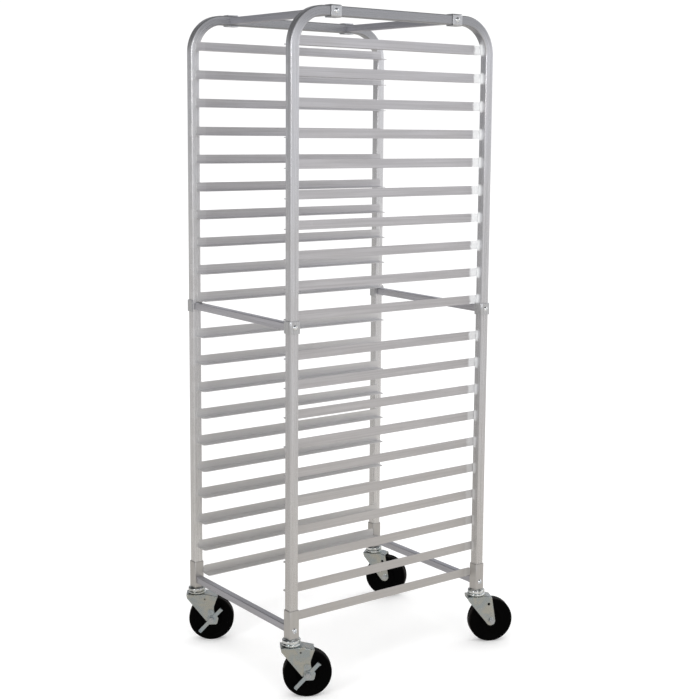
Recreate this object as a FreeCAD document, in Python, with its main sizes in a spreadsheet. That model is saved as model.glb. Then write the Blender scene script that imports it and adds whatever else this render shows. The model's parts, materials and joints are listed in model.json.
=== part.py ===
import FreeCAD, Part
import math
import os
import Sketcher

V = FreeCAD.Vector

# Row frame: millimetres, Z up from the floor, X to the right, pans loaded from the -Y end.
# The origin lies on the floor, midway between the four swivel axes.

doc = FreeCAD.newDocument("sheet_pan_rack")
sheet = doc.addObject("Spreadsheet::Sheet", "Dims")

DIMS = [
    # frame
    ("rack_width", "514.35"),
    ("rack_depth", "660.4"),
    ("rack_height", "1765.3"),
    ("tube_size", "25.4"),
    ("tube_wall", "1.6"),
    ("tube_corner", "3.2"),
    ("bend_radius", "101.6"),
    ("foot_height", "157"),
    ("half_tube", "=tube_size / 2"),
    ("half_bore", "=half_tube - tube_wall"),
    ("bore_corner", "=tube_corner - tube_wall"),
    ("half_width", "=rack_width / 2"),
    ("half_depth", "=rack_depth / 2"),
    ("post_x", "=half_width - half_tube"),
    ("post_y", "=half_depth - half_tube"),
    ("inner_x", "=half_width - tube_size"),
    ("arc_radius", "=bend_radius - half_tube"),
    ("crown_height", "=rack_height - half_tube"),
    ("arc_height", "=crown_height - arc_radius"),
    ("arc_y", "=post_y - arc_radius"),
    ("drill_start", "=half_width - 2 * tube_size"),
    # runners
    ("runner_height", "23.8"),
    ("runner_width", "32"),
    ("runner_gauge", "1.8"),
    ("runner_setback", "14"),
    ("ledge_round", "6"),
    ("wall_clip", "4"),
    ("tier_pitch", "76.2"),
    ("tiers_per_deck", "10"),
    ("deck_gap", "101.6"),
    ("top_tier", "1666.9"),
    ("ledge_x", "=inner_x - runner_width"),
    ("runner_end", "=half_depth - runner_setback"),
    ("deck_height", "=tier_pitch * (tiers_per_deck - 1)"),
    ("full_tiers_low", "=tiers_per_deck - 1"),
    ("upper_deck", "=top_tier - deck_height"),
    ("lower_top_tier", "=upper_deck - deck_gap"),
    ("lower_deck", "=lower_top_tier - deck_height"),
    ("lower_second", "=lower_deck + tier_pitch"),
    ("lower_second_span", "=deck_height - tier_pitch"),
    ("short_end", "=half_depth - sleeve_reach - 0.3"),
    # cross rails
    ("rail_size", "19.05"),
    ("rail_wall", "1.6"),
    ("rail_corner", "2"),
    ("top_rail_inset", "133"),
    ("mid_rail_height", "967.5"),
    ("low_rail_height", "178.6"),
    ("half_rail", "=rail_size / 2"),
    ("half_rail_bore", "=half_rail - rail_wall"),
    ("rail_bore_corner", "=rail_corner - rail_wall"),
    ("top_rail_y", "=half_depth - top_rail_inset"),
    ("rail_start", "=0 - inner_x"),
    ("rail_length", "=2 * inner_x"),
    ("low_rail_start", "=sleeve_half - post_x"),
    ("low_rail_length", "=2 * (post_x - sleeve_half)"),
    # saddles
    ("saddle_length", "31.75"),
    ("saddle_gauge", "3.2"),
    ("saddle_inside", "2"),
    ("saddle_outside", "=saddle_inside + saddle_gauge"),
    ("saddle_web", "=half_width + saddle_gauge"),
    ("saddle_half", "=saddle_length / 2"),
    ("top_low", "=rack_height - tube_size"),
    ("top_low_flange", "=top_low - saddle_gauge"),
    ("top_flange", "=rack_height + saddle_gauge"),
    ("flange_y", "=half_depth + saddle_gauge"),
    ("post_inner_y", "=half_depth - tube_size"),
    ("post_flange_y", "=post_inner_y - saddle_gauge"),
    ("mid_saddle_low", "=mid_rail_height - saddle_half"),
    # sleeves
    ("sleeve_height", "74"),
    ("sleeve_half", "15"),
    ("sleeve_bore", "12.9"),
    ("sleeve_corner", "4"),
    ("sleeve_bore_corner", "2.5"),
    ("sleeve_reach", "=sleeve_half + half_tube"),
    # cross bolts and the plugs they thread into
    ("bolt_radius", "3.9"),
    ("bolt_hole", "4.1"),
    ("thread_bore", "3.95"),
    ("bolt_head", "7.2"),
    ("bolt_head_height", "4.4"),
    ("bolt_socket", "2.9"),
    ("bolt_socket_depth", "2.4"),
    ("bolt_length", "46"),
    ("plug_half", "7.8"),
    ("plug_length", "20"),
    ("plug_start", "=inner_x - plug_length"),
    ("low_plug_start", "=post_x - sleeve_half - plug_length"),
    ("sleeve_face", "=post_x + sleeve_half"),
    # caster socket in each foot
    ("socket_half", "10.9"),
    ("socket_corner", "1.6"),
    ("socket_height", "44"),
    ("socket_bore", "6.45"),
    # caster: load plate, ball race and kingpin
    ("kingpin_tail", "131"),
    ("kingpin_head", "133.6"),
    ("kingpin_head_radius", "8"),
    ("kingpin_radius", "5"),
    ("cap_under", "148.6"),
    ("cap_lip", "146.2"),
    ("cap_shoulder", "153.4"),
    ("cap_bore", "20"),
    ("cap_radius", "24"),
    ("cap_neck", "17"),
    ("cap_edge_round", "2.4"),
    ("stem_radius", "6.35"),
    ("stem_top", "172"),
    ("race_low", "137"),
    ("race_belt", "139.6"),
    ("race_shoulder", "143.4"),
    ("race_top", "145.4"),
    ("race_bore", "10.5"),
    ("race_foot", "22.5"),
    ("race_radius", "25"),
    ("race_rim", "21.5"),
    ("race_round", "1.4"),
    # caster: fork
    ("swivel_lead", "41.3"),
    ("crown_low", "134.2"),
    ("crown_gauge", "2.8"),
    ("crown_radius", "27.5"),
    ("crown_slope", "0.25"),
    ("crown_tail_braked", "59"),
    ("crown_tail_plain", "42"),
    ("tail_top_braked", "=leg_top - crown_slope * (crown_tail_braked - crown_radius)"),
    ("tail_top_plain", "=leg_top - crown_slope * (crown_tail_plain - crown_radius)"),
    ("tail_low_braked", "=tail_top_braked - crown_gauge"),
    ("tail_low_plain", "=tail_top_plain - crown_gauge"),
    ("crown_width", "=2 * leg_outside"),
    ("crown_nose", "29"),
    ("crown_nose_corner", "8"),
    ("crown_bore", "5.3"),
    ("leg_inside", "19.5"),
    ("leg_gauge", "2.5"),
    ("leg_outside", "=leg_inside + leg_gauge"),
    ("leg_top", "=crown_low + crown_gauge"),
    ("leg_bend", "2.4"),
    ("leg_nose", "29"),
    ("leg_brow", "27"),
    ("leg_brow_height", "126"),
    ("leg_brow_round", "8"),
    ("leg_toe", "33.4"),
    ("leg_heel", "54.8"),
    ("leg_bottom", "50"),
    ("leg_bottom_round", "12.5"),
    ("leg_waist", "47.8"),
    ("leg_waist_height", "98"),
    ("leg_waist_round", "25"),
    ("hole_x_plain", "33"),
    ("hole_height_plain", "113.6"),
    ("hole_radius_plain", "4"),
    ("hole_x_braked", "23"),
    ("hole_height_braked", "122.8"),
    ("hole_radius_braked", "2.2"),
    ("axle_hole", "4.95"),
    ("drill_outside", "=leg_outside + 12"),
    # caster: axle, bushing and wheel
    ("wheel_radius", "63.5"),
    ("wheel_half", "15.9"),
    ("tread_round", "5.5"),
    ("web_half", "13.2"),
    ("rim_inside", "51"),
    ("rim_slope", "47"),
    ("hub_slope", "22"),
    ("hub_radius", "18"),
    ("hub_half", "18.8"),
    ("wheel_bore", "7.95"),
    ("bushing_radius", "7.9"),
    ("bushing_bore", "4.9"),
    ("axle_radius", "4.75"),
    ("axle_head", "8.2"),
    ("axle_head_height", "5.4"),
    ("axle_end", "28.6"),
    ("axle_end_braked", "34"),
    ("nut_radius", "8.2"),
    ("nut_bore", "4.82"),
    ("nut_height", "5.6"),
    ("nut_face", "=leg_outside"),
    # side brake on the two front casters
    ("plate_gauge", "2"),
    ("plate_corner", "6"),
    ("plate_left", "31"),
    ("plate_right", "61.5"),
    ("plate_neck", "45"),
    ("plate_heel", "57.5"),
    ("plate_low", "48.5"),
    ("plate_high", "91"),
    ("plate_shoulder", "67"),
    ("rivet_x", "37.3"),
    ("rivet_height", "83.5"),
    ("rivet_radius", "3.2"),
    ("rivet_proud", "1.4"),
    ("rivet_proud_round", "1.2"),
    ("lever_gap", "0.5"),
    ("lever_gauge", "2.6"),
    ("lever_half", "5.2"),
    ("lever_short", "44"),
    ("lever_long", "48"),
    ("lever_hub", "11"),
    ("lever_bore", "5.1"),
    ("lever_round", "2"),
    ("tab_half", "4.6"),
    ("short_tab", "9"),
    ("long_tab", "6"),
    ("short_tab_inner", "=lever_short - lever_gauge"),
    ("long_tab_inner", "=lever_long - lever_gauge"),
    ("plate_face", "=leg_outside + plate_gauge"),
    ("lever_inside", "=plate_face + lever_gap"),
    ("lever_outside", "=lever_inside + lever_gauge"),
    ("nut_face_braked", "=lever_outside + lever_gap"),
]

for row, (alias, text) in enumerate(DIMS, start=1):
    sheet.set(f"A{row}", alias)
    sheet.set(f"B{row}", text)
    sheet.setAlias(f"B{row}", alias)
doc.recompute()

# Rest attitude of each caster: degrees the wheel trails round from +X towards +Y.
CASTERS = {
    "fl": {"x": -1, "y": -1, "trail": 57.0, "braked": True},
    "fr": {"x": 1, "y": -1, "trail": 60.0, "braked": True},
    "rr": {"x": 1, "y": 1, "trail": 63.0, "braked": False},
    "rl": {"x": -1, "y": 1, "trail": 39.0, "braked": False},
}
LEVER_TILT = 46.5
HALF_TURN = FreeCAD.Placement(V(0, 0, 0), FreeCAD.Rotation(V(0, 0, 1), 180))

bodies = []


def size(token):
    """Value of a sheet alias, of its negative, or zero."""
    if token == 0:
        return 0.0
    if token.startswith("-"):
        return -float(sheet.get(token[1:]))
    return float(sheet.get(token))


def bound(token):
    """The expression that ties a property to a sheet alias."""
    return f"-Dims.{token[1:]}" if token.startswith("-") else f"Dims.{token}"


def new_body(label, placement=None):
    body = doc.addObject("PartDesign::Body", label)
    body.Label = label
    body.AllowCompound = True
    if placement is not None:
        body.Placement = placement
    bodies.append(body)
    return body


def origin_plane(body, role):
    return next(f for f in body.Origin.OriginFeatures if f.Role == role)


def new_sketch(body, role, offset=0):
    """A sketch on one of the body's own planes, moved along that plane's normal."""
    sketch = body.newObject("Sketcher::SketchObject", f"{body.Name}_sketch")
    sketch.AttachmentSupport = [(origin_plane(body, role), "")]
    sketch.MapMode = "FlatFace"
    if offset != 0:
        sketch.setExpression("AttachmentOffset.Base.z", bound(offset))
    return sketch


def locate(sketch, geo, pos, x, y):
    """Fix a point of the sketch at two sheet dimensions, or on an axis for zero."""
    for kind, token, axis in (("DistanceX", x, -2), ("DistanceY", y, -1)):
        if token == 0:
            sketch.addConstraint(Sketcher.Constraint("PointOnObject", geo, pos, axis))
        else:
            index = sketch.addConstraint(
                Sketcher.Constraint(kind, -1, 1, geo, pos, size(token))
            )
            sketch.setExpression(f"Constraints[{index}]", bound(token))


def circle(sketch, x, y, radius):
    geo = sketch.addGeometry(
        Part.Circle(V(size(x), size(y), 0), V(0, 0, 1), size(radius)), False
    )
    locate(sketch, geo, 3, x, y)
    index = sketch.addConstraint(Sketcher.Constraint("Radius", geo, size(radius)))
    sketch.setExpression(f"Constraints[{index}]", bound(radius))


def hexagon(sketch, radius):
    """A regular hexagon round the sketch's origin, by its corner radius."""
    guide = sketch.addGeometry(Part.Circle(V(), V(0, 0, 1), size(radius)), True)
    locate(sketch, guide, 3, 0, 0)
    index = sketch.addConstraint(Sketcher.Constraint("Radius", guide, size(radius)))
    sketch.setExpression(f"Constraints[{index}]", bound(radius))
    tips = [
        V(size(radius) * math.cos(a), size(radius) * math.sin(a), 0)
        for a in (math.pi * k / 3 for k in range(6))
    ]
    sides = [
        sketch.addGeometry(Part.LineSegment(tips[k], tips[(k + 1) % 6]), False)
        for k in range(6)
    ]
    for k in range(6):
        following = sides[(k + 1) % 6]
        sketch.addConstraint(Sketcher.Constraint("Coincident", sides[k], 2, following, 1))
        sketch.addConstraint(Sketcher.Constraint("PointOnObject", sides[k], 1, guide))
    for k in range(1, 6):
        sketch.addConstraint(Sketcher.Constraint("Equal", sides[0], sides[k]))
    sketch.addConstraint(Sketcher.Constraint("PointOnObject", sides[0], 1, -1))


def arc_through(first, middle, last):
    """A circular arc drawn anticlockwise, and which of its ends is the first point."""
    turn = (middle - first).cross(last - first).z
    return (Part.Arc(first, middle, last), 1) if turn > 0 else (Part.Arc(last, middle, first), 2)


def corner_ends(before, corner, after, radius):
    """Where a corner's arc meets the two sides, and the arc's middle."""
    a = (before - corner).normalize()
    b = (after - corner).normalize()
    half = math.acos(max(-1.0, min(1.0, a.dot(b)))) / 2
    reach = radius / math.tan(half)
    centre = corner + (a + b).normalize() * (radius / math.sin(half))
    middle = centre + (corner - centre).normalize() * radius
    return corner + a * reach, middle, corner + b * reach


def outline(sketch, corners):
    """A closed outline through corners (x, y) or (x, y, radius), every corner tied to the sheet."""
    points = [V(size(c[0]), size(c[1]), 0) for c in corners]
    rounds = [size(c[2]) if len(c) > 2 else 0.0 for c in corners]
    count = len(points)
    ends = []
    for k in range(count):
        if rounds[k]:
            ends.append(
                corner_ends(points[k - 1], points[k], points[(k + 1) % count], rounds[k])
            )
        else:
            ends.append((points[k], None, points[k]))
    sides = [
        sketch.addGeometry(Part.LineSegment(ends[k][2], ends[(k + 1) % count][0]), False)
        for k in range(count)
    ]
    for k, corner in enumerate(corners):
        arriving, leaving = sides[k - 1], sides[k]
        if not rounds[k]:
            sketch.addConstraint(Sketcher.Constraint("Coincident", arriving, 2, leaving, 1))
            locate(sketch, leaving, 1, corner[0], corner[1])
            continue
        bend, near = arc_through(*ends[k])
        arc = sketch.addGeometry(bend, False)
        sketch.addConstraint(Sketcher.Constraint("Tangent", arriving, 2, arc, near))
        sketch.addConstraint(Sketcher.Constraint("Tangent", arc, 3 - near, leaving, 1))
        index = sketch.addConstraint(Sketcher.Constraint("Radius", arc, rounds[k]))
        sketch.setExpression(f"Constraints[{index}]", bound(corner[2]))
        tip = sketch.addGeometry(Part.Point(points[k]), True)
        sketch.addConstraint(Sketcher.Constraint("PointOnObject", tip, 1, arriving))
        sketch.addConstraint(Sketcher.Constraint("PointOnObject", tip, 1, leaving))
        locate(sketch, tip, 1, corner[0], corner[1])


def box_outline(sketch, left, right, low, high, radius=None):
    corners = [(left, low), (right, low), (right, high), (left, high)]
    outline(sketch, [c + (radius,) for c in corners] if radius else corners)


def square_tube(sketch, half, radius, bore, bore_radius):
    box_outline(sketch, f"-{half}", half, f"-{half}", half, radius)
    box_outline(sketch, f"-{bore}", bore, f"-{bore}", bore, bore_radius)


def pad(body, sketch, length, reverse=False):
    feature = body.newObject("PartDesign::Pad", f"{body.Name}_pad")
    feature.Profile = sketch
    feature.setExpression("Length", bound(length))
    feature.Reversed = reverse
    body.Tip = feature
    doc.recompute()
    return feature


def cut(body, sketch, length=None, reverse=False):
    """A pocket against the sketch's normal, right through when no length is given."""
    feature = body.newObject("PartDesign::Pocket", f"{body.Name}_cut")
    feature.Profile = sketch
    feature.Reversed = reverse
    if length is None:
        feature.Type = "ThroughAll"
    else:
        feature.setExpression("Length", bound(length))
    before = body.Shape.Volume
    body.Tip = feature
    doc.recompute()
    if not body.Shape.Volume < before - 1e-3:
        raise RuntimeError(f"{feature.Label} removed nothing")
    return feature


def spin(body, sketch):
    """A full turn of the sketch about its own vertical axis."""
    feature = body.newObject("PartDesign::Revolution", f"{body.Name}_turn")
    feature.Profile = sketch
    feature.ReferenceAxis = (sketch, ["V_Axis"])
    feature.Angle = 360
    body.Tip = feature
    doc.recompute()
    return feature


def mirror(body, features, *roles):
    """Copies of the features across one or two of the body's planes."""
    multi = body.newObject("PartDesign::MultiTransform", f"{body.Name}_mirrors")
    multi.Originals = features
    parts = []
    for role in roles:
        step = doc.addObject("PartDesign::Mirrored", f"{body.Name}_mirror")
        body.Group = body.Group + [step]
        step.MirrorPlane = (origin_plane(body, role), [""])
        parts.append(step)
    multi.Transformations = parts
    body.Tip = multi
    doc.recompute()
    return multi


def stack(body, features, count, span):
    """Copies of the features going up by equal steps."""
    pattern = body.newObject("PartDesign::LinearPattern", f"{body.Name}_stack")
    pattern.Originals = features
    pattern.Direction = (origin_plane(body, "XY_Plane"), [""])
    pattern.setExpression("Length", bound(span))
    pattern.setExpression("Occurrences", bound(count))
    body.Tip = pattern
    doc.recompute()
    return pattern


def fillet(body, radius, wanted):
    """Round those of the tip's edges that the test picks out."""
    base = body.Tip
    names = [f"Edge{i}" for i, e in enumerate(base.Shape.Edges, start=1) if wanted(e)]
    if not names:
        raise RuntimeError(f"{body.Label} has no edge to round")
    feature = body.newObject("PartDesign::Fillet", f"{body.Name}_round")
    feature.Base = (base, names)
    feature.setExpression("Radius", bound(radius))
    body.Tip = feature
    doc.recompute()
    return feature


# ---------------------------------------------------------------- frame


def side_frame(label, placement):
    """One bent square tube: post, bend, top run, bend, post."""
    body = new_body(label, placement)
    path = new_sketch(body, "YZ_Plane", "-post_x")
    y, z = size("post_y"), size("crown_height")
    ay, az = size("arc_y"), size("arc_height")
    r = size("arc_radius") * math.sqrt(0.5)
    first_bend, first_near = arc_through(V(-y, az, 0), V(-ay - r, az + r, 0), V(-ay, z, 0))
    second_bend, second_near = arc_through(V(ay, z, 0), V(ay + r, az + r, 0), V(y, az, 0))
    pieces = [
        Part.LineSegment(V(-y, size("foot_height"), 0), V(-y, az, 0)),
        first_bend,
        Part.LineSegment(V(-ay, z, 0), V(ay, z, 0)),
        second_bend,
        Part.LineSegment(V(y, az, 0), V(y, size("foot_height"), 0)),
    ]
    front, bend_a, top, bend_b, rear = [path.addGeometry(g, False) for g in pieces]
    locate(path, front, 1, "-post_y", "foot_height")
    locate(path, rear, 2, "post_y", "foot_height")
    path.addConstraint(Sketcher.Constraint("Vertical", front))
    path.addConstraint(Sketcher.Constraint("Vertical", rear))
    path.addConstraint(Sketcher.Constraint("Horizontal", top))
    for line, line_end, arc, arc_end in (
        (front, 2, bend_a, first_near),
        (top, 1, bend_a, 3 - first_near),
        (top, 2, bend_b, second_near),
        (rear, 1, bend_b, 3 - second_near),
    ):
        path.addConstraint(Sketcher.Constraint("Tangent", line, line_end, arc, arc_end))
    radius = path.addConstraint(Sketcher.Constraint("Radius", bend_a, size("arc_radius")))
    path.setExpression(f"Constraints[{radius}]", bound("arc_radius"))
    path.addConstraint(Sketcher.Constraint("Equal", bend_a, bend_b))
    level = path.addConstraint(
        Sketcher.Constraint("DistanceY", -1, 1, top, 1, size("crown_height"))
    )
    path.setExpression(f"Constraints[{level}]", bound("crown_height"))

    section = new_sketch(body, "XY_Plane", "foot_height")
    section.setExpression("AttachmentOffset.Base.x", bound("-post_x"))
    section.setExpression("AttachmentOffset.Base.y", bound("-post_y"))
    square_tube(section, "half_tube", "tube_corner", "half_bore", "bore_corner")
    sweep = body.newObject("PartDesign::AdditivePipe", f"{body.Name}_sweep")
    sweep.Profile = section
    sweep.Spine = (path, [""])
    body.Tip = sweep
    doc.recompute()

    drill = new_sketch(body, "YZ_Plane", "-drill_start")
    for sign in ("-", ""):
        circle(drill, f"{sign}top_rail_y", "crown_height", "bolt_hole")
        circle(drill, f"{sign}post_y", "mid_rail_height", "bolt_hole")
        circle(drill, f"{sign}post_y", "low_rail_height", "bolt_hole")
    cut(body, drill)
    return body


def runner(body, level, end):
    """One angle runner at the given height: a level ledge and an upright wall."""
    plan = new_sketch(body, "XY_Plane", level)
    outline(
        plan,
        [
            ("-inner_x", f"-{end}"),
            ("-ledge_x", f"-{end}", "ledge_round"),
            ("-ledge_x", end, "ledge_round"),
            ("-inner_x", end),
        ],
    )
    ledge = pad(body, plan, "runner_gauge")
    side = new_sketch(body, "YZ_Plane", "-inner_x")
    side.setExpression("AttachmentOffset.Base.y", bound(level))
    outline(
        side,
        [
            (f"-{end}", 0),
            (end, 0),
            (end, "runner_height", "wall_clip"),
            (f"-{end}", "runner_height", "wall_clip"),
        ],
    )
    return [ledge, pad(body, side, "runner_gauge")]


def upper_runners(label, placement):
    body = new_body(label, placement)
    stack(body, runner(body, "upper_deck", "runner_end"), "tiers_per_deck", "deck_height")


def lower_runners(label, placement):
    """Nine full runners, and a shorter lowest one that fits between the sleeves."""
    body = new_body(label, placement)
    runner(body, "lower_deck", "short_end")
    stack(body, runner(body, "lower_second", "runner_end"), "full_tiers_low", "lower_second_span")


def cross_rail(label, y, z, start="rail_start", length="rail_length"):
    body = new_body(label)
    profile = new_sketch(body, "YZ_Plane", start)
    square_tube(profile, "half_rail", "rail_corner", "half_rail_bore", "rail_bore_corner")
    pad(body, profile, length)
    body.setExpression("Placement.Base.y", bound(y))
    body.setExpression("Placement.Base.z", bound(z))
    doc.recompute()


def top_saddles():
    """Channels over the top tubes: web outside, flanges above and below."""
    body = new_body("top_saddles")
    profile = new_sketch(body, "XZ_Plane", "top_rail_y")
    profile.setExpression("AttachmentOffset.Base.z", "Dims.top_rail_y - Dims.saddle_half")
    outline(
        profile,
        [
            ("inner_x", "top_flange"),
            ("inner_x", "rack_height"),
            ("half_width", "rack_height", "saddle_inside"),
            ("half_width", "top_low", "saddle_inside"),
            ("inner_x", "top_low"),
            ("inner_x", "top_low_flange"),
            ("saddle_web", "top_low_flange", "saddle_outside"),
            ("saddle_web", "top_flange", "saddle_outside"),
        ],
    )
    channel = pad(body, profile, "saddle_length")
    drill = new_sketch(body, "YZ_Plane", "half_width")
    circle(drill, "-top_rail_y", "crown_height", "bolt_hole")
    hole = cut(body, drill, "half_tube", reverse=True)
    mirror(body, [channel, hole], "XZ_Plane", "YZ_Plane")


def mid_saddles():
    """The same channels round the posts at the middle rails."""
    body = new_body("mid_saddles")
    profile = new_sketch(body, "XY_Plane", "mid_saddle_low")
    outline(
        profile,
        [
            ("inner_x", "-flange_y"),
            ("saddle_web", "-flange_y", "saddle_outside"),
            ("saddle_web", "-post_flange_y", "saddle_outside"),
            ("inner_x", "-post_flange_y"),
            ("inner_x", "-post_inner_y"),
            ("half_width", "-post_inner_y", "saddle_inside"),
            ("half_width", "-half_depth", "saddle_inside"),
            ("inner_x", "-half_depth"),
        ],
    )
    channel = pad(body, profile, "saddle_length")
    drill = new_sketch(body, "YZ_Plane", "half_width")
    circle(drill, "-post_y", "mid_rail_height", "bolt_hole")
    hole = cut(body, drill, "half_tube", reverse=True)
    mirror(body, [channel, hole], "XZ_Plane", "YZ_Plane")


def foot_sleeve(code, sx, sy):
    """The larger square tube round one post's foot."""
    body = new_body(f"foot_sleeve_{code}")
    section = new_sketch(body, "XY_Plane")
    square_tube(section, "sleeve_half", "sleeve_corner", "sleeve_bore", "sleeve_bore_corner")
    pad(body, section, "sleeve_height")
    drill = new_sketch(body, "YZ_Plane", "-tube_size")
    drill.setExpression("AttachmentOffset.Base.y", "Dims.low_rail_height - Dims.foot_height")
    circle(drill, 0, 0, "bolt_hole")
    cut(body, drill, reverse=True)
    body.setExpression("Placement.Base.x", f"{sx} * Dims.post_x")
    body.setExpression("Placement.Base.y", f"{sy} * Dims.post_y")
    body.setExpression("Placement.Base.z", bound("foot_height"))
    doc.recompute()


def rail_plugs(label, y, z, start):
    """Solid threaded plugs in the four ends of one pair of rails."""
    body = new_body(label)
    section = new_sketch(body, "YZ_Plane", start)
    section.setExpression("AttachmentOffset.Base.x", bound(f"-{y}"))
    section.setExpression("AttachmentOffset.Base.y", bound(z))
    box_outline(section, "-plug_half", "plug_half", "-plug_half", "plug_half")
    circle(section, 0, 0, "thread_bore")
    mirror(body, [pad(body, section, "plug_length")], "XZ_Plane", "YZ_Plane")


def rail_bolts(label, y, z, face):
    """Domed socket bolts, heads against the outside, for one pair of rails."""
    body = new_body(label)
    shank_sketch = new_sketch(body, "YZ_Plane", face)
    shank_sketch.setExpression("AttachmentOffset.Base.x", bound(f"-{y}"))
    shank_sketch.setExpression("AttachmentOffset.Base.y", bound(z))
    circle(shank_sketch, 0, 0, "bolt_radius")
    shank = pad(body, shank_sketch, "bolt_length", reverse=True)
    dome = new_sketch(body, "XY_Plane", z)
    dome.setExpression("AttachmentOffset.Base.x", bound(face))
    dome.setExpression("AttachmentOffset.Base.y", bound(f"-{y}"))
    flat, tall = size("bolt_head"), size("bolt_head_height")
    radius = (flat * flat + tall * tall) / (2 * tall)
    lean = math.asin(flat / radius) / 2
    crest = V(tall - radius + radius * math.cos(lean), radius * math.sin(lean), 0)
    curve, near = arc_through(V(0, flat, 0), crest, V(tall, 0, 0))
    base = dome.addGeometry(Part.LineSegment(V(), V(0, flat, 0)), False)
    rise = dome.addGeometry(curve, False)
    back = dome.addGeometry(Part.LineSegment(V(tall, 0, 0), V()), False)
    dome.addConstraint(Sketcher.Constraint("Coincident", base, 1, -1, 1))
    dome.addConstraint(Sketcher.Constraint("Coincident", back, 2, base, 1))
    dome.addConstraint(Sketcher.Constraint("Coincident", base, 2, rise, near))
    dome.addConstraint(Sketcher.Constraint("Coincident", rise, 3 - near, back, 1))
    locate(dome, base, 2, 0, "bolt_head")
    locate(dome, back, 1, "bolt_head_height", 0)
    dome.addConstraint(Sketcher.Constraint("PointOnObject", rise, 3, -1))
    head = body.newObject("PartDesign::Revolution", f"{body.Name}_head")
    head.Profile = dome
    head.ReferenceAxis = (dome, ["H_Axis"])
    head.Angle = 360
    body.Tip = head
    doc.recompute()
    key = new_sketch(body, "YZ_Plane", face)
    key.setExpression("AttachmentOffset.Base.x", bound(f"-{y}"))
    key.setExpression("AttachmentOffset.Base.y", bound(z))
    key.setExpression("AttachmentOffset.Base.z", f"Dims.{face} + Dims.bolt_head_height")
    hexagon(key, "bolt_socket")
    socket = cut(body, key, "bolt_socket_depth")
    mirror(body, [shank, head, socket], "XZ_Plane", "YZ_Plane")


def caster_socket(code, sx, sy):
    """The square block inside a post's foot that takes the caster's stem."""
    body = new_body(f"caster_socket_{code}")
    section = new_sketch(body, "XY_Plane")
    box_outline(
        section, "-socket_half", "socket_half", "-socket_half", "socket_half", "socket_corner"
    )
    circle(section, 0, 0, "socket_bore")
    pad(body, section, "socket_height")
    drill = new_sketch(body, "YZ_Plane", "-tube_size")
    drill.setExpression("AttachmentOffset.Base.y", "Dims.low_rail_height - Dims.foot_height")
    circle(drill, 0, 0, "bolt_hole")
    cut(body, drill, reverse=True)
    body.setExpression("Placement.Base.x", f"{sx} * Dims.post_x")
    body.setExpression("Placement.Base.y", f"{sy} * Dims.post_y")
    body.setExpression("Placement.Base.z", bound("foot_height"))
    doc.recompute()


# ---------------------------------------------------------------- casters
# Each caster is drawn about its own swivel axis, trailing along +X, its brake on the -Y side.


def caster_stem(label, place):
    """Threaded stem, upper race cap and kingpin, which stay with the frame."""
    body = new_body(label, place)
    half = new_sketch(body, "XZ_Plane")
    outline(
        half,
        [
            (0, "kingpin_tail"),
            ("kingpin_head_radius", "kingpin_tail"),
            ("kingpin_head_radius", "kingpin_head"),
            ("kingpin_radius", "kingpin_head"),
            ("kingpin_radius", "cap_under"),
            ("cap_bore", "cap_under"),
            ("cap_bore", "cap_lip"),
            ("cap_radius", "cap_lip"),
            ("cap_radius", "cap_shoulder", "cap_edge_round"),
            ("cap_neck", "foot_height"),
            ("stem_radius", "foot_height"),
            ("stem_radius", "stem_top"),
            (0, "stem_top"),
        ],
    )
    spin(body, half)


def caster_race(label, place):
    """Lower race ring, fixed on the fork's crown."""
    body = new_body(label, place)
    half = new_sketch(body, "XZ_Plane")
    outline(
        half,
        [
            ("race_bore", "race_low"),
            ("race_foot", "race_low"),
            ("race_radius", "race_belt", "race_round"),
            ("race_radius", "race_shoulder", "race_round"),
            ("race_rim", "race_top", "race_round"),
            ("race_bore", "race_top"),
        ],
    )
    spin(body, half)


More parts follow.
